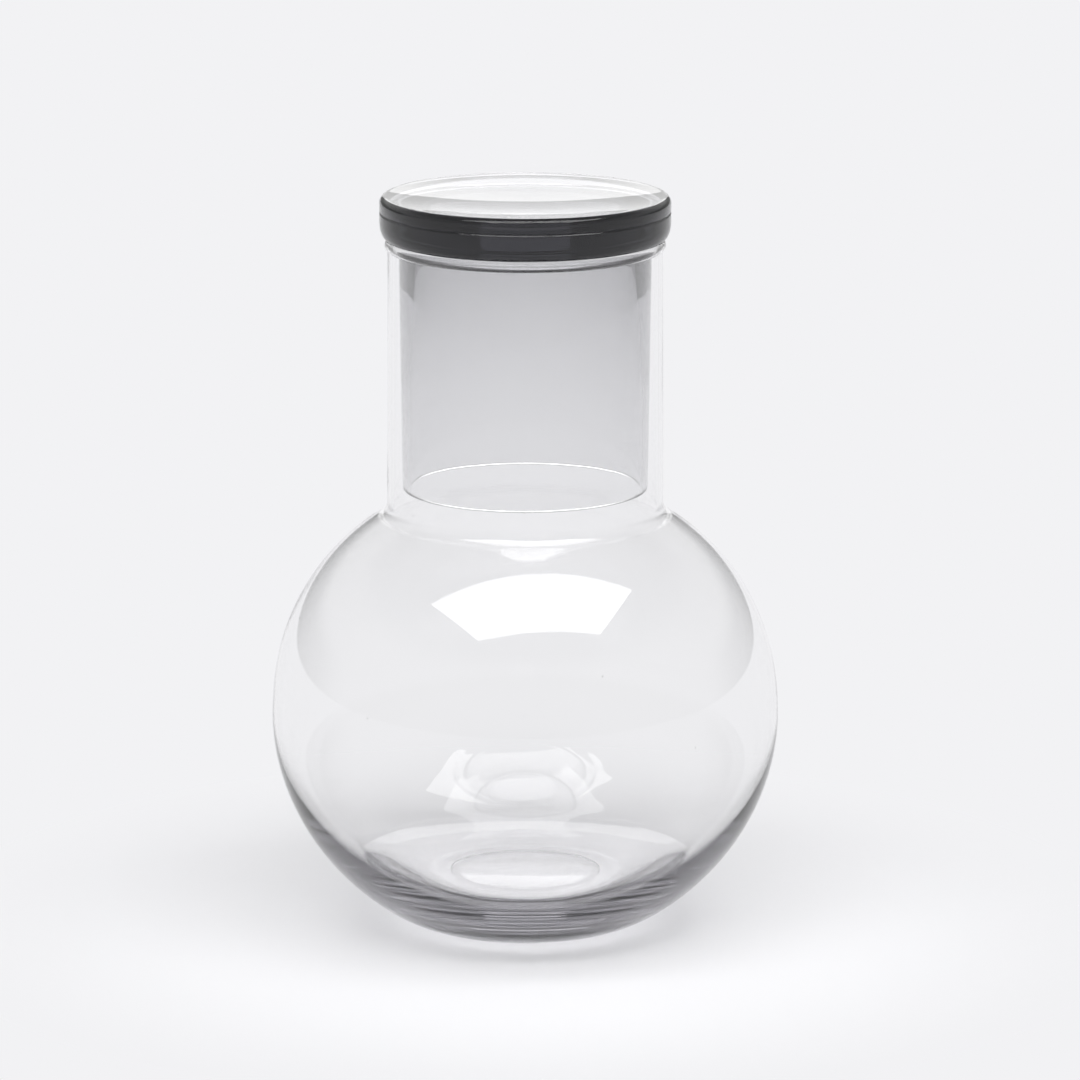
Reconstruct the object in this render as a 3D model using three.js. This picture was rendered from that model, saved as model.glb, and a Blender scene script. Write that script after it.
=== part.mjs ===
// Glass carafe whose inverted tumbler hangs in the neck and closes it.
// Millimetres, +Z up, the axis of both pieces is Z and the carafe stands on z = 0.
import * as THREE from "three";

// Carafe: neck and rim
const CARAFE_HEIGHT = 194;
const NECK_RADIUS = 38;
const NECK_FLARE = 0.45;
const NECK_WALL = 1.4;
const RIM_BEAD_RADIUS = 1.5;

// Carafe: round body, two quarter curves that meet at the widest height
const BODY_RADIUS = 70.9;
const EQUATOR_HEIGHT = 59;
const SHOULDER_RISE = 67.1;
const SHOULDER_FULLNESS = 2.16;
const BELLY_BELOW_BASE = 7.4;
const BELLY_FULLNESS = 1.95;
const BODY_WALL = 1.2;
const SHOULDER_BLEND = 2.8;

// Carafe: solid base with a flat floor, heel, flat resting ring and the hollow under the base
const BASE_THICKNESS = 12;
const BELLY_WALL_GAIN = 7.2;
const FLOOR_CORNER_RISE = 5;
const FLOOR_CORNER_RUN = 20;
const HEEL_HEIGHT = 6.1;
const HEEL_RUN = 8;
const RING_WIDTH = 3.5;
const PUNT_RISE = 0.6;

// Tumbler: foot
const SEAT_GAP = 0.3;
const FOOT_OVERHANG = 1.45;
const FOOT_THICKNESS = 11.8;
const FOOT_TOP_ROUND = 2;
const FOOT_LOWER_RUN = 2;
const FOOT_LOWER_RISE = 4.5;
const DISH_SLOPE = THREE.MathUtils.degToRad(8);

// Tumbler: wall and cavity
const WALL_CLEARANCE = 1.6;
const WALL_TAPER = 0.85;
const WALL_LENGTH = 70.3;
const MOUTH_WALL = 1.9;
const WALL_AT_FOOT = 5.2;
const WALL_BULGE = 0.45;
const UNDERCUT_ROUND = 0.9;
const CAVITY_FLOOR_DROP = 0.8;
const CAVITY_CORNER_RISE = 3;
const CAVITY_CORNER_RUN = 3.5;

const TURN_STEPS = 64;

// Points on an elliptical arc about (r, z), angles in degrees from the outward direction.
function arc(r, z, halfWidth, halfHeight, from, to, steps) {
  const points = [];
  for (let i = 0; i <= steps; i++) {
    const angle = THREE.MathUtils.degToRad(from + ((to - from) * i) / steps);
    points.push(new THREE.Vector2(r + halfWidth * Math.cos(angle), z + halfHeight * Math.sin(angle)));
  }
  return points;
}

// A quarter of a rounded curve: full radius at its middle height, zero radius at the end of its reach.
function quarterCurve(middle, radius, reach, fullness) {
  const heightAt = (r) => middle + reach * (1 - (r / radius) ** fullness) ** (1 / fullness);
  const radiusAt = (z) => radius * (1 - ((z - middle) / reach) ** fullness) ** (1 / fullness);
  const slopeAt = (r) => {
    const z = heightAt(r);
    return -((r / radius) ** (fullness - 1) / radius) / (((z - middle) / reach) ** (fullness - 1) / reach);
  };
  // Points between two turns of the curve, 0 at the full radius and 1 on the axis.
  const sweep = (from, to, steps) => {
    const points = [];
    for (let i = 0; i <= steps; i++) {
      const angle = ((from + ((to - from) * i) / steps) * Math.PI) / 2;
      const r = radius * Math.cos(angle) ** (2 / fullness);
      points.push(new THREE.Vector2(r, middle + reach * Math.sin(angle) ** (2 / fullness)));
    }
    return points;
  };
  const turnAt = (r) => (Math.acos((r / radius) ** (fullness / 2)) * 2) / Math.PI;
  return { heightAt, radiusAt, slopeAt, sweep, turnAt };
}

// A soft bend that leaves `start` towards `corner` and arrives at `end` from it.
function bend(start, corner, end, steps) {
  return new THREE.QuadraticBezierCurve(start, corner, end).getPoints(steps);
}

// The bend between a shoulder curve and the neck line above it.
function neckBend(curve, neckRadius, steps) {
  const onBody = neckRadius + SHOULDER_BLEND;
  const start = new THREE.Vector2(onBody, curve.heightAt(onBody));
  const corner = new THREE.Vector2(neckRadius, start.y - SHOULDER_BLEND * curve.slopeAt(onBody));
  const end = new THREE.Vector2(neckRadius, corner.y + start.distanceTo(corner));
  return bend(start, corner, end, steps);
}

// Joins runs of points and drops the ones that repeat.
function outline(...runs) {
  const points = [];
  for (const point of runs.flat()) {
    if (!points.length || points[points.length - 1].distanceTo(point) > 1e-3) points.push(point);
  }
  points[0].x = 0;
  points[points.length - 1].x = 0;
  return points;
}

function turned(name, points, material) {
  const geometry = new THREE.LatheGeometry(points, TURN_STEPS);
  geometry.rotateX(Math.PI / 2);
  const mesh = new THREE.Mesh(geometry, material);
  mesh.name = name;
  return mesh;
}

// A wall that runs on from `start` in the given direction, up or down to a flat floor at `height`.
function floorCorner(start, direction, height, run, steps) {
  const corner = start.clone().addScaledVector(direction, (height - start.y) / direction.y);
  return bend(start, corner, new THREE.Vector2(corner.x - run, height), steps);
}

function carafePoints() {
  const bellyReach = EQUATOR_HEIGHT + BELLY_BELOW_BASE;
  const belly = quarterCurve(EQUATOR_HEIGHT, BODY_RADIUS, -bellyReach, BELLY_FULLNESS);
  const shoulder = quarterCurve(EQUATOR_HEIGHT, BODY_RADIUS, SHOULDER_RISE, SHOULDER_FULLNESS);
  const innerRadius = BODY_RADIUS - BODY_WALL;
  const innerRise = SHOULDER_RISE - BODY_WALL;
  const innerBelly = quarterCurve(EQUATOR_HEIGHT, innerRadius, BELLY_WALL_GAIN - bellyReach, 2);
  const innerShoulder = quarterCurve(EQUATOR_HEIGHT, innerRadius, innerRise, SHOULDER_FULLNESS);

  const heelRadius = belly.radiusAt(HEEL_HEIGHT);
  const heelStart = new THREE.Vector2(heelRadius, HEEL_HEIGHT);
  const heelCorner = new THREE.Vector2(heelRadius - HEEL_HEIGHT / belly.slopeAt(heelRadius), 0);
  const ringOuter = new THREE.Vector2(heelCorner.x - HEEL_RUN, 0);
  const puntRadius = ringOuter.x - RING_WIDTH;

  const cornerHeight = BASE_THICKNESS + FLOOR_CORNER_RISE;
  const cornerRadius = innerBelly.radiusAt(cornerHeight);
  const cornerStart = new THREE.Vector2(cornerRadius, cornerHeight);
  const downWall = new THREE.Vector2(-1, -innerBelly.slopeAt(cornerRadius));

  const shoulderRadius = NECK_RADIUS + NECK_FLARE;
  const beadRadius = NECK_RADIUS - NECK_WALL / 2;
  const beadHeight = CARAFE_HEIGHT - RIM_BEAD_RADIUS;
  const wallAngle = THREE.MathUtils.radToDeg(Math.asin(NECK_WALL / 2 / RIM_BEAD_RADIUS));

  return outline(
    arc(0, 0, puntRadius, PUNT_RISE, 90, 0, 4),
    bend(ringOuter, heelCorner, heelStart, 4),
    belly.sweep(belly.turnAt(heelRadius), 0, 9),
    shoulder.sweep(0, shoulder.turnAt(shoulderRadius + SHOULDER_BLEND), 9),
    neckBend(shoulder, shoulderRadius, 4),
    arc(beadRadius, beadHeight, RIM_BEAD_RADIUS, RIM_BEAD_RADIUS, wallAngle - 90, 270 - wallAngle, 10),
    neckBend(innerShoulder, shoulderRadius - NECK_WALL, 4).reverse(),
    innerShoulder.sweep(innerShoulder.turnAt(shoulderRadius - NECK_WALL + SHOULDER_BLEND), 0, 9),
    innerBelly.sweep(0, innerBelly.turnAt(cornerRadius), 7),
    floorCorner(cornerStart, downWall, BASE_THICKNESS, FLOOR_CORNER_RUN, 5),
    [new THREE.Vector2(0, BASE_THICKNESS)],
  );
}

function tumblerPoints() {
  const underside = CARAFE_HEIGHT + SEAT_GAP;
  const top = underside + FOOT_THICKNESS;
  const footRadius = NECK_RADIUS - NECK_WALL / 2 + RIM_BEAD_RADIUS + FOOT_OVERHANG;
  const wallRadius = NECK_RADIUS - NECK_WALL - WALL_CLEARANCE;
  const mouthRadius = wallRadius - WALL_TAPER;
  const mouthHeight = underside - WALL_LENGTH;
  const rimRound = MOUTH_WALL / 2;

  const lowerHeight = underside + FOOT_LOWER_RISE;
  const lipRadius = footRadius - FOOT_TOP_ROUND;
  const lipHeight = top - FOOT_TOP_ROUND;
  const dishDegrees = THREE.MathUtils.radToDeg(DISH_SLOPE);
  const dishStart = lipRadius - FOOT_TOP_ROUND * Math.sin(DISH_SLOPE);
  const dishSphere = dishStart / Math.sin(DISH_SLOPE);
  const dishCentre = lipHeight + (FOOT_TOP_ROUND + dishSphere) * Math.cos(DISH_SLOPE);

  const rimCentre = mouthHeight + rimRound;
  const cavityFloor = underside - CAVITY_FLOOR_DROP;
  const cavityMouth = new THREE.Vector2(mouthRadius - MOUTH_WALL, rimCentre);
  const cavityEnd = new THREE.Vector2(wallRadius - WALL_AT_FOOT, cavityFloor - CAVITY_CORNER_RISE);
  const cavityBulge = new THREE.Vector2(cavityMouth.x + WALL_BULGE, (rimCentre + cavityEnd.y) / 2);
  const upWall = cavityEnd.clone().sub(cavityBulge);
  const undercutRadius = wallRadius + UNDERCUT_ROUND;
  const undercutHeight = underside - UNDERCUT_ROUND;

  return outline(
    [new THREE.Vector2(0, cavityFloor)],
    floorCorner(cavityEnd, upWall, cavityFloor, CAVITY_CORNER_RUN, 4).reverse(),
    bend(cavityMouth, cavityBulge, cavityEnd, 7).reverse(),
    arc(mouthRadius - rimRound, rimCentre, rimRound, rimRound, 180, 360, 6),
    arc(undercutRadius, undercutHeight, UNDERCUT_ROUND, UNDERCUT_ROUND, 180, 90, 3),
    arc(footRadius - FOOT_LOWER_RUN, lowerHeight, FOOT_LOWER_RUN, FOOT_LOWER_RISE, -90, 0, 6),
    arc(lipRadius, lipHeight, FOOT_TOP_ROUND, FOOT_TOP_ROUND, 0, 90, 5),
    arc(lipRadius, lipHeight, FOOT_TOP_ROUND, FOOT_TOP_ROUND, 90, 90 + dishDegrees, 1),
    arc(0, dishCentre, dishSphere, dishSphere, dishDegrees - 90, -90, 4),
  );
}

const clearGlass = new THREE.MeshStandardMaterial({
  color: 0xe6e8ea,
  roughness: 0.03,
  metalness: 0,
  transparent: true,
  opacity: 0.35,
});
const smokeGlass = new THREE.MeshStandardMaterial({
  color: 0x4b4c50,
  roughness: 0.03,
  metalness: 0,
  transparent: true,
  opacity: 0.75,
});

const object = new THREE.Group();
object.name = "carafe_with_tumbler";
object.add(turned("carafe", carafePoints(), clearGlass));
object.add(turned("tumbler", tumblerPoints(), smokeGlass));

export default object;
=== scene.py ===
"""Studio scene of a round glass carafe that is closed by its own upturned tumbler.

Both pieces are turned glass. Each class works out the outline of its piece in
millimetres, a Geometry Nodes tree turns that outline about the Z axis, and a glass
finish dresses the closed body. The stage, the lamps and the camera follow.
"""

import logging
import math
from dataclasses import dataclass
from enum import Enum
from typing import Any

import bpy
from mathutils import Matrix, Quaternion, Vector


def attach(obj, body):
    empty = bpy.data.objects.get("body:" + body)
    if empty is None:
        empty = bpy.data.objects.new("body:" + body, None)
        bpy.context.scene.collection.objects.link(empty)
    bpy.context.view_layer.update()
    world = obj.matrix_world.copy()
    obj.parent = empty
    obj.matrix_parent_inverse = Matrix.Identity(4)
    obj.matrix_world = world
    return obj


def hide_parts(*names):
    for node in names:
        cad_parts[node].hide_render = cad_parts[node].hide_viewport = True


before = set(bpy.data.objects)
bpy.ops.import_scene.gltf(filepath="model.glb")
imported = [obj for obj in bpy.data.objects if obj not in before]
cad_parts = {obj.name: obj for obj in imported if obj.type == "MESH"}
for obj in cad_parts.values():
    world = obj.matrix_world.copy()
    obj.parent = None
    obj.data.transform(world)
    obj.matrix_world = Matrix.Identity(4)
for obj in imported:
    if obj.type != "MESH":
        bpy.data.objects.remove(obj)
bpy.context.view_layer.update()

LOG = logging.getLogger("carafe")

# Metres in a millimetre, the unit of the outlines.
MM = 0.001
# Points of an outline that are nearer than this are one point, in millimetres.
SAME_POINT = 1e-4
# Corners of a turned body that are nearer than this are joined, in metres.
WELD = 1e-6
# How strongly the points of a crowded line gather at its end.
CROWDING = 3
# How often light may pass through the glass, and how often it may bounce off it.
GLASS_PASSES = 32
GLOSSY_BOUNCES = 24

Point = tuple[float, float]
Span = tuple[float, float]
Colour = tuple[float, float, float]


class Body(Enum):
    """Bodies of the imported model."""

    CARAFE = "carafe"
    TUMBLER = "tumbler"


class Slot(Enum):
    """Material slots of the record."""

    CLEAR = "clear_glass"
    SMOKE = "smoke_glass"


@dataclass(frozen=True)
class QuarterCurve:
    """A quarter of a rounded curve, full at its middle height and zero at its end.

    Attributes:
        middle: Height of the full radius.
        radius: The full radius.
        reach: Height from the middle to the axis, negative where the curve goes down.
        fullness: Exponent of the curve, 2 for an ellipse.
    """

    middle: float
    radius: float
    reach: float
    fullness: float

    def height_at(self, r: float) -> float:
        """Height of the curve at a radius."""
        share = (1 - (r / self.radius) ** self.fullness) ** (1 / self.fullness)
        return self.middle + self.reach * share

    def radius_at(self, z: float) -> float:
        """Radius of the curve at a height."""
        share = 1 - ((z - self.middle) / self.reach) ** self.fullness
        return self.radius * share ** (1 / self.fullness)

    def slope_at(self, r: float) -> float:
        """Slope of the curve.

        Args:
            r: Radius of the place.

        Returns:
            The rise for each unit of radius.
        """
        power = self.fullness - 1
        across = (r / self.radius) ** power / self.radius
        up = ((self.height_at(r) - self.middle) / self.reach) ** power / self.reach
        return -across / up

    def turn_at(self, r: float) -> float:
        """Share of the quarter that is passed at a radius, from 0 to 1."""
        return math.acos((r / self.radius) ** (self.fullness / 2)) * 2 / math.pi

    def sweep(self, start: float, end: float, steps: int) -> list[Point]:
        """Points between two shares of the quarter.

        Args:
            start: First share, 0 at the full radius and 1 on the axis.
            end: Last share.
            steps: Number of stretches between them.

        Returns:
            The points in order, both ends among them.
        """
        points = []
        for i in range(steps + 1):
            angle = (start + (end - start) * i / steps) * math.pi / 2
            r = self.radius * max(math.cos(angle), 0.0) ** (2 / self.fullness)
            z = self.reach * max(math.sin(angle), 0.0) ** (2 / self.fullness)
            points.append((r, self.middle + z))
        return points


def arc(centre: Point, width: float, height: float, start: float, end: float, steps: int) -> list[Point]:
    """Points on an elliptical arc.

    Args:
        centre: Middle of the ellipse, as radius and height.
        width: Half width of the ellipse.
        height: Half height of the ellipse.
        start: First angle in degrees from the outward direction.
        end: Last angle.
        steps: Number of stretches between them.

    Returns:
        The points in order, both ends among them.
    """
    points = []
    for i in range(steps + 1):
        angle = math.radians(start + (end - start) * i / steps)
        points.append((centre[0] + width * math.cos(angle), centre[1] + height * math.sin(angle)))
    return points


def bend(start: Point, corner: Point, end: Point, steps: int) -> list[Point]:
    """Points on a soft bend that leaves start towards corner and reaches end from it.

    Args:
        start: First point.
        corner: Where the two end directions meet.
        end: Last point.
        steps: Number of stretches.

    Returns:
        The points in order, both ends among them.
    """
    points = []
    for i in range(steps + 1):
        t = i / steps
        a, b, c = (1 - t) ** 2, 2 * t * (1 - t), t * t
        r = a * start[0] + b * corner[0] + c * end[0]
        z = a * start[1] + b * corner[1] + c * end[1]
        points.append((r, z))
    return points


def line(start: Point, end: Point, steps: int) -> list[Point]:
    """Points on a straight line, both ends among them."""
    return bend(start, ((start[0] + end[0]) / 2, (start[1] + end[1]) / 2), end, steps)


def crowded_line(start: Point, end: Point, steps: int) -> list[Point]:
    """Points on a straight line that crowd towards its end, so that an edge there stays sharp.

    Args:
        start: First point.
        end: Last point, where they crowd.
        steps: Number of stretches.

    Returns:
        The points in order, both ends among them.
    """
    shares = [1 - (1 - i / steps) ** CROWDING for i in range(steps + 1)]
    run, rise = end[0] - start[0], end[1] - start[1]
    return [(start[0] + run * share, start[1] + rise * share) for share in shares]


def floor_corner(start: Point, way: Point, height: float, run: float, steps: int) -> list[Point]:
    """Bend from a wall to the flat floor that it runs on to.

    Args:
        start: Where the wall ends.
        way: Direction of the wall there.
        height: Height of the floor.
        run: Radius taken up by the bend on the floor.
        steps: Number of stretches.

    Returns:
        The points from the wall to the floor.
    """
    corner = (start[0] + way[0] * (height - start[1]) / way[1], height)
    return bend(start, corner, (corner[0] - run, height), steps)


class Outline:
    """Outline of a turned piece, from the axis round the glass back to the axis."""

    def __init__(self) -> None:
        """Starts an empty outline."""
        self.points: list[Point] = []

    def add(self, run: list[Point]) -> None:
        """Adds a run of points and leaves out those that repeat.

        Args:
            run: The points in order.
        """
        for point in run:
            if not self.points or math.dist(self.points[-1], point) >= SAME_POINT:
                self.points.append(point)

    def close(self) -> None:
        """Puts both ends exactly on the axis."""
        self.points[0] = (0.0, self.points[0][1])
        self.points[-1] = (0.0, self.points[-1][1])


def placed(name: str, data: Any) -> Any:
    """Makes an object and puts it in the scene.

    Args:
        name: Name of the object.
        data: Its mesh, lamp or camera.

    Returns:
        The new object.
    """
    made = bpy.data.objects.new(name, data)
    bpy.context.scene.collection.objects.link(made)
    return made


class NodeTree:
    """Short calls for making nodes and links in one node tree."""

    def __init__(self, tree: Any) -> None:
        """Takes the tree and empties it."""
        self.tree = tree
        tree.nodes.clear()

    def node(self, kind: str, inputs: dict[Any, Any] | None = None, **settings: Any) -> Any:
        """Adds a node.

        Args:
            kind: Type of the node.
            inputs: Sockets to link, or values to set, by the input's name or number.
            **settings: Properties of the node, which are set before its inputs.

        Returns:
            The new node.
        """
        made = self.tree.nodes.new(kind)
        for key, value in settings.items():
            setattr(made, key, value)
        for key, value in (inputs or {}).items():
            if isinstance(value, bpy.types.NodeSocket):
                self.tree.links.new(value, made.inputs[key])
            else:
                made.inputs[key].default_value = value
        return made

    def math(self, operation: str, *values: Any) -> Any:
        """Adds a node that works out a number and returns its output."""
        return self.node("ShaderNodeMath", dict(enumerate(values)), operation=operation).outputs[0]

    def length(self, vector: Any) -> Any:
        """Adds a node that measures a vector and returns its output."""
        return self.node("ShaderNodeVectorMath", {0: vector}, operation="LENGTH").outputs["Value"]

    def split(self, vector: Any) -> Any:
        """Adds a node that splits a vector and returns its outputs."""
        return self.node("ShaderNodeSeparateXYZ", {0: vector}).outputs

    def joined(self, x: Any, y: Any, z: Any) -> Any:
        """Adds a node that joins three values to a vector and returns its output."""
        return self.node("ShaderNodeCombineXYZ", {"X": x, "Y": y, "Z": z}).outputs[0]

    def ramp(self, value: Any, span: Span, to: Span = (0.0, 1.0)) -> Any:
        """Adds a node that maps a value smoothly from one span to another and clamps it.

        Args:
            value: Socket of the value.
            span: The two values between which the result changes.
            to: The results at these two values.

        Returns:
            The output socket.
        """
        inputs = dict(enumerate((value, *span, *to)))
        return self.node("ShaderNodeMapRange", inputs, interpolation_type="SMOOTHSTEP").outputs["Result"]

    def mixed(self, share: Any, first: Any, second: Any) -> Any:
        """Adds a node that mixes two shader nodes by a share of the second and returns its output."""
        inputs = {0: share, 1: first.outputs[0], 2: second.outputs[0]}
        return self.node("ShaderNodeMixShader", inputs).outputs[0]


class TurningTree:
    """Geometry Nodes tree that turns an outline about the Z axis into a closed body."""

    STEPS = "Steps round"
    GLASS = "Glass"

    def __init__(self) -> None:
        """Builds the tree."""
        self.tree = bpy.data.node_groups.new("Turned glass", "GeometryNodeTree")
        face = self.tree.interface
        face.new_socket("Outline", in_out="INPUT", socket_type="NodeSocketGeometry")
        self.sockets = {
            self.STEPS: face.new_socket(self.STEPS, in_out="INPUT", socket_type="NodeSocketInt"),
            self.GLASS: face.new_socket(self.GLASS, in_out="INPUT", socket_type="NodeSocketMaterial"),
        }
        face.new_socket("Body", in_out="OUTPUT", socket_type="NodeSocketGeometry")
        make = NodeTree(self.tree)
        given = make.node("NodeGroupInput").outputs
        outline = given["Outline"]
        count = make.node("GeometryNodeAttributeDomainSize", {"Geometry": outline}, component="MESH")
        around = make.math("ADD", given[self.STEPS], 1.0)
        corners = {"Vertices X": count.outputs["Point Count"], "Vertices Y": around}
        index = make.node("GeometryNodeInputIndex").outputs[0]
        row = make.math("FLOOR", make.math("DIVIDE", index, around))
        column = make.math("SUBTRACT", index, make.math("MULTIPLY", row, around))
        turns = make.math("DIVIDE", column, given[self.STEPS])
        angle = make.math("MULTIPLY", turns, -2 * math.pi)
        place = make.node("GeometryNodeInputPosition").outputs[0]
        point = make.node(
            "GeometryNodeSampleIndex",
            {"Geometry": outline, "Value": place, "Index": row},
            data_type="FLOAT_VECTOR",
            domain="POINT",
        )
        parts = make.split(point.outputs["Value"])
        x = make.math("MULTIPLY", parts["X"], make.math("COSINE", angle))
        y = make.math("MULTIPLY", parts["X"], make.math("SINE", angle))
        body = make.node("GeometryNodeMeshGrid", corners).outputs["Mesh"]
        for kind, inputs in (
            ("GeometryNodeSetPosition", {"Position": make.joined(x, y, parts["Z"])}),
            ("GeometryNodeMergeByDistance", {"Distance": WELD}),
            ("GeometryNodeSetShadeSmooth", {}),
            ("GeometryNodeRealizeInstances", {}),
            ("GeometryNodeSetMaterial", {"Material": given[self.GLASS]}),
        ):
            body = make.node(kind, {"Geometry": body, **inputs}).outputs["Geometry"]
        make.node("NodeGroupOutput", {"Body": body})

    def turn(self, name: str, outline: Outline, steps: int, glass: Any) -> Any:
        """Turns an outline into a plain mesh object at the origin.

        Args:
            name: Name of the new object.
            outline: Outline in millimetres.
            steps: Stretches round the axis.
            glass: Material of the body.

        Returns:
            The new object.
        """
        mesh = bpy.data.meshes.new(name + "_outline")
        points = [(r * MM, 0.0, z * MM) for r, z in outline.points]
        mesh.from_pydata(points, [(i, i + 1) for i in range(len(points) - 1)], [])
        mesh.materials.append(glass)
        rough = placed(name + "_outline", mesh)
        modifier = rough.modifiers.new("Turn", "NODES")
        modifier.node_group = self.tree
        modifier[self.sockets[self.STEPS].identifier] = steps
        modifier[self.sockets[self.GLASS].identifier] = glass
        graph = bpy.context.evaluated_depsgraph_get()
        graph.update()
        solid = bpy.data.meshes.new_from_object(rough.evaluated_get(graph), depsgraph=graph)
        rough.modifiers.remove(modifier)
        bpy.data.objects.remove(rough)
        bpy.data.meshes.remove(mesh)
        solid.name = name
        return placed(name, solid)


class GlassSurface:
    """Shared shader group: the slight unevenness and fine marks of hand-made glass.

    Attributes:
        RIPPLE_SCALE: Scale of the broad unevenness.
        RING_SCALE: Scale of the fine rings, by radius and height.
        RING_WANDER: How much the rings change across the piece.
        SPECK_SCALE: Scale of the cells that may each hold a speck.
        SPECK_EDGE: Where a speck's edge starts and ends, as shares of a cell.
        SPECK_RARITY: Share of the cells without a speck.
        LEAST_MARK: Height in metres above which a speck is a mark.
        WIPE_TURN: Turn of the wiped places, in radians.
        WIPE_STRETCH: Their scale along each axis.
        WIPE_SCALE: Their scale as a whole.
        WIPE_SPAN: Where the haze of a wiped place starts and is full.
    """

    RIPPLE_SCALE = 32.0
    RING_SCALE = 420.0
    RING_WANDER = 9.0
    SPECK_SCALE = 130.0
    SPECK_EDGE = (0.02, 0.05)
    SPECK_RARITY = 0.93
    LEAST_MARK = 1e-6
    WIPE_TURN = (0.3, 0.5, 0.2)
    WIPE_STRETCH = (1.0, 1.0, 0.35)
    WIPE_SCALE = 60.0
    WIPE_SPAN = (0.5, 0.8)

    def __init__(self) -> None:
        """Builds the group."""
        self.tree = bpy.data.node_groups.new("Glass surface", "ShaderNodeTree")
        face = self.tree.interface
        face.new_socket("Place", in_out="INPUT", socket_type="NodeSocketVector")
        for name in ("Ripple", "Rings", "Specks", "Haze"):
            face.new_socket(name, in_out="INPUT", socket_type="NodeSocketFloat")
        for name in ("Height", "Roughness", "Marks"):
            face.new_socket(name, in_out="OUTPUT", socket_type="NodeSocketFloat")
        make = NodeTree(self.tree)
        given = make.node("NodeGroupInput").outputs
        place = given["Place"]
        ripple = self._noise(make, place, self.RIPPLE_SCALE, detail=1.0)
        parts = make.split(place)
        radius = make.length(make.joined(parts["X"], parts["Y"], 0.0))
        turned = make.joined(
            make.math("MULTIPLY", radius, self.RING_SCALE),
            make.math("MULTIPLY", parts["X"], self.RING_WANDER),
            make.math("MULTIPLY", parts["Z"], self.RING_SCALE),
        )
        rings = self._noise(make, turned, scale=1.0, detail=2.0)
        scattered = {"Vector": place, "Scale": self.SPECK_SCALE}
        cells = make.node("ShaderNodeTexVoronoi", scattered, feature="F1").outputs
        core = make.ramp(cells["Distance"], self.SPECK_EDGE, (1.0, 0.0))
        chance = make.node("ShaderNodeSeparateColor", {0: cells["Color"]}).outputs["Red"]
        rare = make.math("GREATER_THAN", chance, self.SPECK_RARITY)
        specks = make.math("MULTIPLY", make.math("MULTIPLY", core, rare), given["Specks"])
        wiping = {"Vector": place, "Rotation": self.WIPE_TURN, "Scale": self.WIPE_STRETCH}
        smear = make.node("ShaderNodeMapping", wiping).outputs[0]
        wiped = make.ramp(self._noise(make, smear, self.WIPE_SCALE, detail=4.0), self.WIPE_SPAN)
        height = make.math("MULTIPLY", ripple, given["Ripple"])
        height = make.math("ADD", height, make.math("MULTIPLY", rings, given["Rings"]))
        height = make.math("ADD", height, specks)
        rough = make.math("MULTIPLY", wiped, given["Haze"])
        make.node("NodeGroupOutput", {"Height": height, "Roughness": rough, "Marks": specks})

    @staticmethod
    def _noise(make: NodeTree, place: Any, scale: float, detail: float) -> Any:
        """Adds a noise texture and returns its output, from 0 to 1."""
        inputs = {"Vector": place, "Scale": scale, "Detail": detail}
        return make.node("ShaderNodeTexNoise", inputs).outputs[0]


@dataclass(frozen=True)
class GlassFinish:
    """Glass with a tint that deepens with its thickness.

    Attributes:
        name: Name of the material.
        ior: Index of refraction.
        tint: Colour left after one absorption length.
        density: Absorption lengths in a metre of glass.
        surface: Colour that the surface lets through.
        dust: Colour of the fine marks.
        ripple: Height of the broad unevenness, in metres.
        rings: Height of the fine rings round the axis.
        specks: Height of the fine specks.
        haze: Roughness of wiped places.
    """

    name: str
    ior: float
    tint: Colour
    density: float
    surface: Colour
    dust: Colour
    ripple: float
    rings: float
    specks: float
    haze: float

    def material(self, surface: GlassSurface) -> Any:
        """Makes the material.

        Args:
            surface: The shared group for unevenness and marks.

        Returns:
            The new material.
        """
        made = bpy.data.materials.new(self.name)
        made.use_nodes = True
        make = NodeTree(made.node_tree)
        uneven = make.node(
            "ShaderNodeGroup",
            {
                "Place": make.node("ShaderNodeTexCoord").outputs["Object"],
                "Ripple": self.ripple,
                "Rings": self.rings,
                "Specks": self.specks,
                "Haze": self.haze,
            },
            node_tree=surface.tree,
        ).outputs
        bump = make.node("ShaderNodeBump", {"Strength": 1.0, "Distance": 1.0, "Height": uneven["Height"]})
        marked = make.math("GREATER_THAN", uneven["Marks"], surface.LEAST_MARK)
        colours = {"Factor": marked, "A": (*self.surface, 1.0), "B": (*self.dust, 1.0)}
        glass = make.node(
            "ShaderNodeBsdfPrincipled",
            {
                "Base Color": make.node("ShaderNodeMix", colours, data_type="RGBA").outputs["Result"],
                "Roughness": uneven["Roughness"],
                "IOR": self.ior,
                "Transmission Weight": 1.0,
                "Normal": bump.outputs["Normal"],
            },
        )
        depth = {"Color": (*self.tint, 1.0), "Density": self.density}
        tinted = make.node("ShaderNodeVolumeAbsorption", depth)
        make.node("ShaderNodeOutputMaterial", {"Surface": glass.outputs[0], "Volume": tinted.outputs[0]})
        return made


CLEAR_GLASS = GlassFinish(
    name="clear_blown_glass",
    ior=1.5,
    tint=(0.9, 0.898, 0.905),
    density=115.0,
    surface=(1.0, 1.0, 1.0),
    dust=(0.75, 0.75, 0.74),
    ripple=6e-5,
    rings=4e-6,
    specks=2e-5,
    haze=0.02,
)
SMOKE_GLASS = GlassFinish(
    name="smoke_grey_glass",
    ior=1.5,
    tint=(0.9, 0.9, 0.905),
    density=575.0,
    surface=(1.0, 1.0, 1.0),
    dust=(0.9, 0.9, 0.88),
    ripple=3e-5,
    rings=2e-6,
    specks=3e-5,
    haze=0.03,
)


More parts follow.
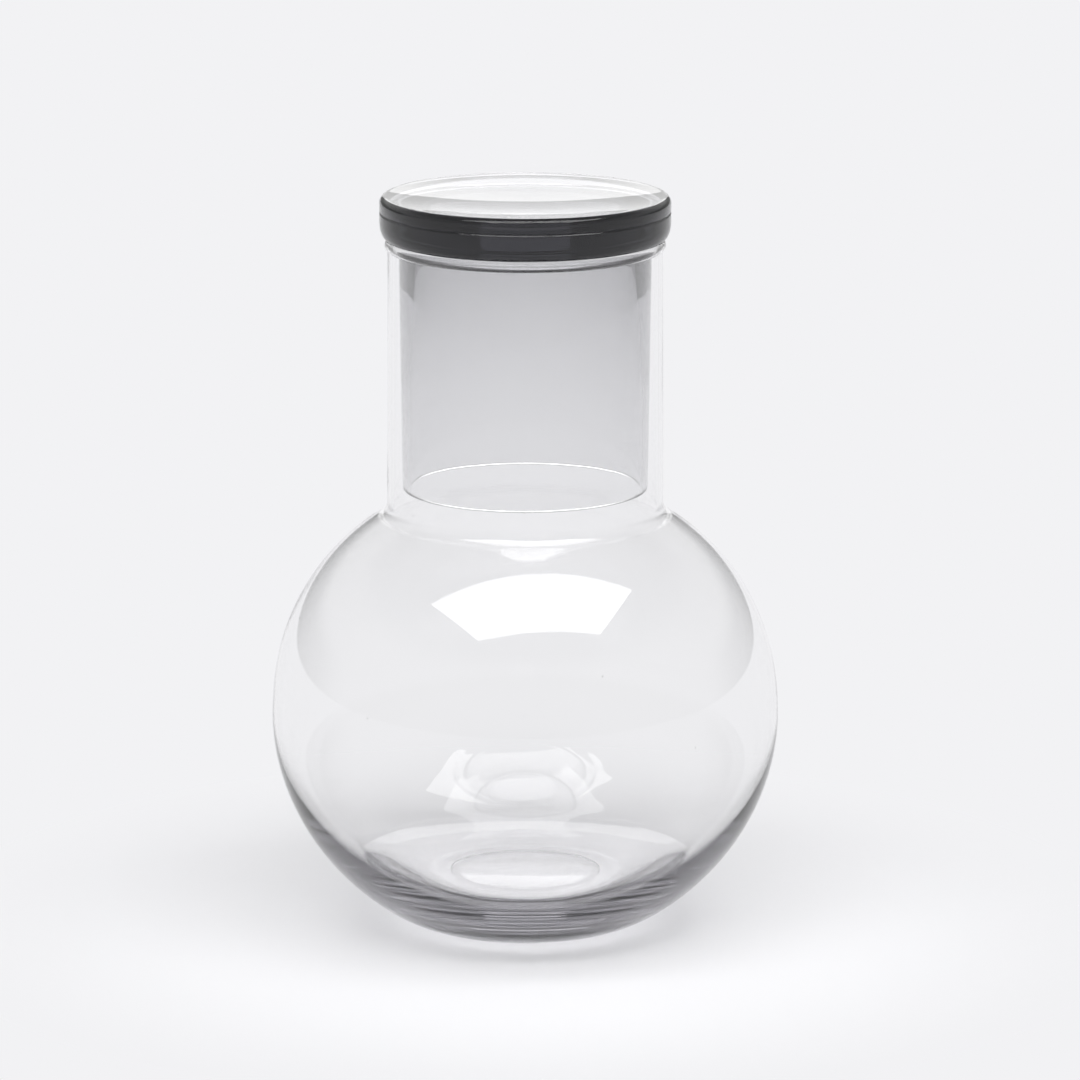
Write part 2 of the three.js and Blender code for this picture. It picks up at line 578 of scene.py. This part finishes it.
@dataclass(frozen=True)
class Carafe:
    """The round carafe with its straight neck. Sizes are in millimetres.

    Attributes:
        height: Height of the rim.
        neck_radius: Outer radius of the neck at the rim.
        neck_flare: How much wider the neck is at the shoulder.
        neck_wall: Thickness of the neck.
        bead_radius: Radius of the rounded rim.
        body_radius: Greatest radius of the body.
        equator: Height of that radius.
        shoulder_rise: Height of the shoulder curve above the equator.
        shoulder_fullness: Fullness of the shoulder curve.
        belly_below: How far the belly curve aims below the base.
        belly_fullness: Fullness of the outer belly curve.
        inner_fullness: Fullness of the inner belly curve.
        body_wall: Thickness at the equator and above.
        floor: Height of the flat inner floor.
        wall_gain: How far the inner belly curve ends above the outer one.
        corner_rise: Height taken up by the bend from the wall to the floor.
        corner_run: Radius taken up by it on the floor.
        blend: Radius taken up by the bend from shoulder to neck.
        heel_height: Height where the heel leaves the belly curve.
        heel_run: Radius taken up by the heel inside the corner.
        ring_width: Width of the flat ring that it stands on.
        punt_rise: Height of the hollow under the base.
        steps: Stretches round the axis.
    """

    height: float = 194.0
    neck_radius: float = 38.0
    neck_flare: float = 0.45
    neck_wall: float = 1.4
    bead_radius: float = 1.5
    body_radius: float = 70.9
    equator: float = 59.0
    shoulder_rise: float = 67.1
    shoulder_fullness: float = 2.16
    belly_below: float = 7.4
    belly_fullness: float = 1.95
    inner_fullness: float = 2.0
    body_wall: float = 1.2
    floor: float = 12.0
    wall_gain: float = 7.2
    corner_rise: float = 5.0
    corner_run: float = 20.0
    blend: float = 2.8
    heel_height: float = 6.1
    heel_run: float = 8.0
    ring_width: float = 3.5
    punt_rise: float = 0.6
    steps: int = 256

    def _neck_bend(self, curve: QuarterCurve, radius: float, steps: int) -> list[Point]:
        """Bend from a shoulder curve up to the neck.

        Args:
            curve: The shoulder curve.
            radius: Radius of the neck line above the bend.
            steps: Number of stretches.

        Returns:
            The points from the shoulder upwards.
        """
        on_body = radius + self.blend
        start = (on_body, curve.height_at(on_body))
        corner = (radius, start[1] - self.blend * curve.slope_at(on_body))
        end = (radius, corner[1] + math.dist(start, corner))
        return bend(start, corner, end, steps)

    def outline(self) -> Outline:
        """Works out the outline.

        Returns:
            The outline from the middle of the base round the rim to the inner floor.
        """
        reach = self.equator + self.belly_below
        belly = QuarterCurve(self.equator, self.body_radius, -reach, self.belly_fullness)
        shoulder = QuarterCurve(
            self.equator, self.body_radius, self.shoulder_rise, self.shoulder_fullness
        )
        inner_radius = self.body_radius - self.body_wall
        inner_belly = QuarterCurve(
            self.equator, inner_radius, self.wall_gain - reach, self.inner_fullness
        )
        inner_shoulder = QuarterCurve(
            self.equator, inner_radius, self.shoulder_rise - self.body_wall, self.shoulder_fullness
        )
        heel_radius = belly.radius_at(self.heel_height)
        corner = heel_radius - self.heel_height / belly.slope_at(heel_radius)
        ring = corner - self.heel_run
        punt = ring - self.ring_width
        corner_height = self.floor + self.corner_rise
        wall_end = (inner_belly.radius_at(corner_height), corner_height)
        down = (-1.0, -inner_belly.slope_at(wall_end[0]))
        floor_bend = floor_corner(wall_end, down, self.floor, self.corner_run, steps=14)
        neck = self.neck_radius + self.neck_flare
        bead = (self.neck_radius - self.neck_wall / 2, self.height - self.bead_radius)
        hidden = math.degrees(math.asin(self.neck_wall / 2 / self.bead_radius))
        rim = arc(bead, self.bead_radius, self.bead_radius, hidden - 90, 270 - hidden, steps=30)
        outer_bend = self._neck_bend(shoulder, neck, steps=12)
        inner_bend = self._neck_bend(inner_shoulder, neck - self.neck_wall, steps=12)[::-1]

        made = Outline()
        made.add(arc((0.0, 0.0), punt, self.punt_rise, 90, 0, steps=24))
        made.add(crowded_line((ring, 0.0), (punt, 0.0), steps=6)[::-1])
        made.add(bend((ring, 0.0), (corner, 0.0), (heel_radius, self.heel_height), steps=16))
        made.add(belly.sweep(belly.turn_at(heel_radius), 0, steps=44))
        made.add(shoulder.sweep(0, shoulder.turn_at(neck + self.blend), steps=36))
        made.add(outer_bend)
        made.add(crowded_line(outer_bend[-1], rim[0], steps=12))
        made.add(rim)
        made.add(crowded_line(inner_bend[0], rim[-1], steps=12)[::-1])
        made.add(inner_bend)
        made.add(inner_shoulder.sweep(inner_shoulder.turn_at(inner_bend[-1][0]), 0, steps=32))
        made.add(inner_belly.sweep(0, inner_belly.turn_at(wall_end[0]), steps=34))
        made.add(floor_bend)
        made.add(line(floor_bend[-1], (0.0, self.floor), steps=8))
        made.close()
        return made

    def build(self, turning: TurningTree, glass: Any) -> Any:
        """Makes the carafe and puts it in the frame.

        Args:
            turning: The turning tree.
            glass: Material of the carafe.

        Returns:
            The new object.
        """
        piece = turning.turn("carafe_glass", self.outline(), self.steps, glass)
        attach(piece, Body.CARAFE.value)
        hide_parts("carafe")
        return piece


@dataclass(frozen=True)
class Tumbler:
    """The tumbler that hangs upside down in the neck. Sizes are in millimetres.

    Attributes:
        underside: Height of the foot's underside.
        foot_radius: Radius of the foot.
        foot_thickness: Thickness of the foot at its edge.
        top_round: Radius of the rounded top edge.
        lower_run: Radius taken up by the rounded lower edge.
        lower_rise: Height taken up by it.
        dish_slope: Slope of the hollow top at its edge, in degrees.
        crease_rise: Height of the fine crease round the foot above its underside.
        crease_half: Half of the crease's height.
        crease_depth: Depth of the crease.
        wall_radius: Outer radius of the wall below the foot.
        wall_taper: How much narrower the wall is at the mouth.
        wall_length: Length of the wall below the foot.
        mouth_wall: Thickness of the rounded mouth.
        undercut: Radius of the bend from the foot to the wall.
        wall_at_foot: Thickness of the wall where the cavity's corner starts.
        wall_bulge: How far the cavity widens on its way from the mouth.
        cavity_drop: How far the cavity ends below the foot's underside.
        corner_rise: Height taken up by the cavity's corner.
        corner_run: Radius taken up by it on the cavity's floor.
        steps: Stretches round the axis.
    """

    underside: float = 194.3
    foot_radius: float = 40.25
    foot_thickness: float = 11.8
    top_round: float = 2.0
    lower_run: float = 2.0
    lower_rise: float = 4.5
    dish_slope: float = 8.0
    crease_rise: float = 7.45
    crease_half: float = 0.42
    crease_depth: float = 0.26
    wall_radius: float = 35.0
    wall_taper: float = 0.85
    wall_length: float = 70.3
    mouth_wall: float = 1.9
    undercut: float = 0.9
    wall_at_foot: float = 5.2
    wall_bulge: float = 0.45
    cavity_drop: float = 0.8
    corner_rise: float = 3.0
    corner_run: float = 3.5
    steps: int = 256

    def _crease(self, steps: int) -> list[Point]:
        """Points of the fine crease round the foot.

        Args:
            steps: Number of stretches.

        Returns:
            The points from its lower edge to its upper one.
        """
        points = []
        for i in range(steps + 1):
            share = 2 * i / steps - 1
            depth = self.crease_depth * (1 + math.cos(math.pi * share)) / 2
            height = self.underside + self.crease_rise + share * self.crease_half
            points.append((self.foot_radius - depth, height))
        return points

    def outline(self) -> Outline:
        """Works out the outline.

        Returns:
            The outline from the cavity's floor round the mouth and the foot to the top.
        """
        top = self.underside + self.foot_thickness
        mouth = self.wall_radius - self.wall_taper
        rim_round = self.mouth_wall / 2
        rim_height = self.underside - self.wall_length + rim_round
        cavity_floor = self.underside - self.cavity_drop
        cavity_mouth = (mouth - self.mouth_wall, rim_height)
        cavity_end = (self.wall_radius - self.wall_at_foot, cavity_floor - self.corner_rise)
        bulge = (cavity_mouth[0] + self.wall_bulge, (rim_height + cavity_end[1]) / 2)
        up = (cavity_end[0] - bulge[0], cavity_end[1] - bulge[1])
        cavity_corner = floor_corner(cavity_end, up, cavity_floor, self.corner_run, steps=14)
        lip = (self.foot_radius - self.top_round, top - self.top_round)
        slope = math.radians(self.dish_slope)
        sphere = (lip[0] - self.top_round * math.sin(slope)) / math.sin(slope)
        centre = top - self.top_round * (1 - math.cos(slope)) + sphere * math.cos(slope)
        bend_centre = (self.wall_radius + self.undercut, self.underside - self.undercut)
        lower_centre = (self.foot_radius - self.lower_run, self.underside + self.lower_rise)
        undercut = arc(bend_centre, self.undercut, self.undercut, 180, 90, steps=8)
        lower = arc(lower_centre, self.lower_run, self.lower_rise, -90, 0, steps=20)

        made = Outline()
        made.add(line((0.0, cavity_floor), cavity_corner[-1], steps=6))
        made.add(cavity_corner[::-1])
        made.add(bend(cavity_mouth, bulge, cavity_end, steps=36)[::-1])
        made.add(arc((mouth - rim_round, rim_height), rim_round, rim_round, 180, 360, steps=20))
        made.add(line((mouth, rim_height), undercut[0], steps=16))
        made.add(undercut)
        made.add(line(undercut[-1], lower[0], steps=2))
        made.add(lower)
        made.add(self._crease(steps=16))
        made.add(arc(lip, self.top_round, self.top_round, 0, 90 + self.dish_slope, steps=24))
        made.add(arc((0.0, centre), sphere, sphere, self.dish_slope - 90, -90, steps=20))
        made.close()
        return made

    def build(self, turning: TurningTree, glass: Any) -> Any:
        """Makes the tumbler and puts it in the frame.

        Args:
            turning: The turning tree.
            glass: Material of the tumbler.

        Returns:
            The new object.
        """
        piece = turning.turn("tumbler_glass", self.outline(), self.steps, glass)
        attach(piece, Body.TUMBLER.value)
        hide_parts("tumbler")
        return piece


@dataclass(frozen=True)
class SoftBox:
    """A soft rectangular lamp near the object.

    Attributes:
        name: Name of the lamp.
        azimuth: Degrees from the camera's side of the object towards its right.
        elevation: Degrees above the horizon, as seen from the point that it is placed about.
        distance: Metres from that point.
        width: Width in metres.
        height: Height in metres.
        tilt: Degrees that its face is turned up from that point.
        glow: Brightness of its face, where 1 is white.
        about: Height in metres of the point on the object's axis that it is placed about.
    """

    name: str
    azimuth: float
    elevation: float
    distance: float
    width: float
    height: float
    tilt: float
    glow: float
    about: float = 0.1

    def build(self) -> Any:
        """Makes the lamp.

        Returns:
            The new object.
        """
        lamp = bpy.data.lights.new(self.name, "AREA")
        lamp.shape = "RECTANGLE"
        lamp.size = self.width
        lamp.size_y = self.height
        lamp.energy = self.glow * math.pi * self.width * self.height
        made = placed(self.name, lamp)
        around, up = math.radians(self.azimuth), math.radians(self.elevation)
        way = Vector((math.sin(around) * math.cos(up), -math.cos(around) * math.cos(up), math.sin(up)))
        made.location = Vector((0.0, 0.0, self.about)) + self.distance * way
        turned = Quaternion((1.0, 0.0, 0.0), math.radians(self.tilt))
        made.rotation_euler = (way.to_track_quat("Z", "Y") @ turned).to_euler()
        return made


SOFT_BOXES = (
    SoftBox(
        name="top_softbox",
        azimuth=9.0,
        elevation=63.5,
        distance=1.13,
        width=1.4,
        height=0.85,
        tilt=-42.0,
        glow=3.3,
    ),
    SoftBox(
        name="back_softbox",
        azimuth=180.0,
        elevation=24.6,
        distance=1.32,
        width=0.5,
        height=0.4,
        tilt=24.6,
        glow=2.0,
    ),
    SoftBox(
        name="back_panel",
        azimuth=180.0,
        elevation=10.6,
        distance=1.22,
        width=0.5,
        height=0.25,
        tilt=10.6,
        glow=1.0,
    ),
)


@dataclass(frozen=True)
class Studio:
    """Pale paper floor and the room round it.

    Attributes:
        paper: Colour of the paper and of the background.
        room: Brightness of the room for all but the camera.
        ceiling: Brightness of the room's ceiling.
        dim: Brightness of the room low behind the object.
        behind: Backward share of a direction where the dimness starts and where it is full.
        low: Upward share of a direction where the dimness starts to fade and where it is gone.
        high: Upward share of a direction where the ceiling starts and where it is full.
        lit: Radii in metres where the paper starts to turn to plain background and where it is that alone.
        size: Half width of the floor in metres.
        gap: How far the floor lies below the base, so that the two don't meet.
    """

    paper: Colour = (0.888, 0.888, 0.905)
    room: float = 0.85
    ceiling: float = 0.51
    dim: float = 0.4
    behind: Span = (0.0, 0.5)
    low: Span = (0.14, 0.3)
    high: Span = (0.45, 0.7)
    lit: Span = (0.08, 0.17)
    size: float = 20.0
    gap: float = 0.0002

    def floor(self) -> None:
        """Makes the floor."""
        mesh = bpy.data.meshes.new("paper_floor")
        corners = [(-1, -1), (1, -1), (1, 1), (-1, 1)]
        points = [(x * self.size, y * self.size, -self.gap) for x, y in corners]
        mesh.from_pydata(points, [], [(0, 1, 2, 3)])
        mesh.materials.append(self._paper())
        made = placed("paper_floor", mesh)

    def _paper(self) -> Any:
        """Makes the paper's material: lit near the object and plain background farther out.

        Returns:
            The new material.
        """
        made = bpy.data.materials.new("pale_paper")
        made.use_nodes = True
        make = NodeTree(made.node_tree)
        far = make.length(make.node("ShaderNodeTexCoord").outputs["Object"])
        path = make.node("ShaderNodeLightPath").outputs
        seen = make.math("MAXIMUM", path["Is Camera Ray"], path["Is Glossy Ray"])
        seen = make.math("MAXIMUM", seen, path["Is Transmission Ray"])
        share = make.math("MULTIPLY", make.ramp(far, self.lit), seen)
        paper = make.node("ShaderNodeBsdfDiffuse", {"Color": (*self.paper, 1.0)})
        glow = make.node("ShaderNodeEmission", {"Color": (*self.paper, 1.0)})
        make.node("ShaderNodeOutputMaterial", {"Surface": make.mixed(share, paper, glow)})
        return made

    def world(self) -> None:
        """Makes the room: plain for the camera, and for the rest darkest low behind the object."""
        made = bpy.data.worlds.new("room")
        bpy.context.scene.world = made
        made.use_nodes = True
        make = NodeTree(made.node_tree)
        way = make.split(make.node("ShaderNodeTexCoord").outputs["Generated"])
        behind = make.ramp(way["Y"], self.behind)
        low = make.ramp(way["Z"], self.low, (1.0, 0.0))
        levels = {
            "Factor": make.math("MULTIPLY", behind, low),
            "A": make.ramp(way["Z"], self.high, (self.room, self.ceiling)),
            "B": self.dim,
        }
        level = make.node("ShaderNodeMix", levels, data_type="FLOAT").outputs["Result"]
        room = make.node("ShaderNodeBackground", {"Strength": level})
        plain = make.node("ShaderNodeBackground", {"Color": (*self.paper, 1.0)})
        seen = make.node("ShaderNodeLightPath").outputs["Is Camera Ray"]
        make.node("ShaderNodeOutputWorld", {"Surface": make.mixed(seen, room, plain)})


@dataclass(frozen=True)
class PhotoCamera:
    """Camera at the photograph's viewing angle.

    Attributes:
        place: Position in metres.
        pitch: Degrees that it looks down.
        focal: Focal length in pixels of a picture with the given width.
        width: Width of that picture in pixels.
        aside: Pixels that the object's axis stands left of the middle.
        sensor: Width of the sensor in millimetres.
        nearest: Distance in metres from which things are seen.
    """

    place: tuple[float, float, float] = (0.0, -1.6, 0.4752)
    pitch: float = 12.903
    focal: float = 5884.0
    width: float = 1080.0
    aside: float = 14.75
    sensor: float = 36.0
    nearest: float = 0.01

    def build(self) -> None:
        """Makes the camera and makes it the scene's own."""
        lens = bpy.data.cameras.new("photo_camera")
        lens.sensor_width = self.sensor
        lens.lens = self.focal / self.width * self.sensor
        lens.shift_x = self.aside / self.width
        lens.clip_start = self.nearest
        made = placed("photo_camera", lens)
        made.location = self.place
        made.rotation_euler = (math.radians(90 - self.pitch), 0.0, 0.0)
        bpy.context.scene.camera = made


def set_up_light_paths() -> None:
    """Sets the colour view and lets light pass through all the walls of the glass."""
    scene = bpy.context.scene
    scene.view_settings.view_transform = "Standard"
    scene.cycles.max_bounces = GLASS_PASSES
    scene.cycles.transmission_bounces = GLASS_PASSES
    scene.cycles.glossy_bounces = GLOSSY_BOUNCES
    scene.cycles.blur_glossy = 0.0


def main() -> None:
    """Builds the carafe, the tumbler and the studio."""
    logging.basicConfig(level=logging.INFO, format="%(name)s: %(message)s")
    set_up_light_paths()
    surface = GlassSurface()
    turning = TurningTree()
    pieces = (
        Carafe().build(turning, CLEAR_GLASS.material(surface)),
        Tumbler().build(turning, SMOKE_GLASS.material(surface)),
    )
    for piece in pieces:
        LOG.info("%s has %d faces", piece.name, len(piece.data.polygons))
    studio = Studio()
    studio.floor()
    studio.world()
    for box in SOFT_BOXES:
        LOG.info("lamp %s", box.build().name)
    PhotoCamera().build()


if __name__ == "__main__":
    main()
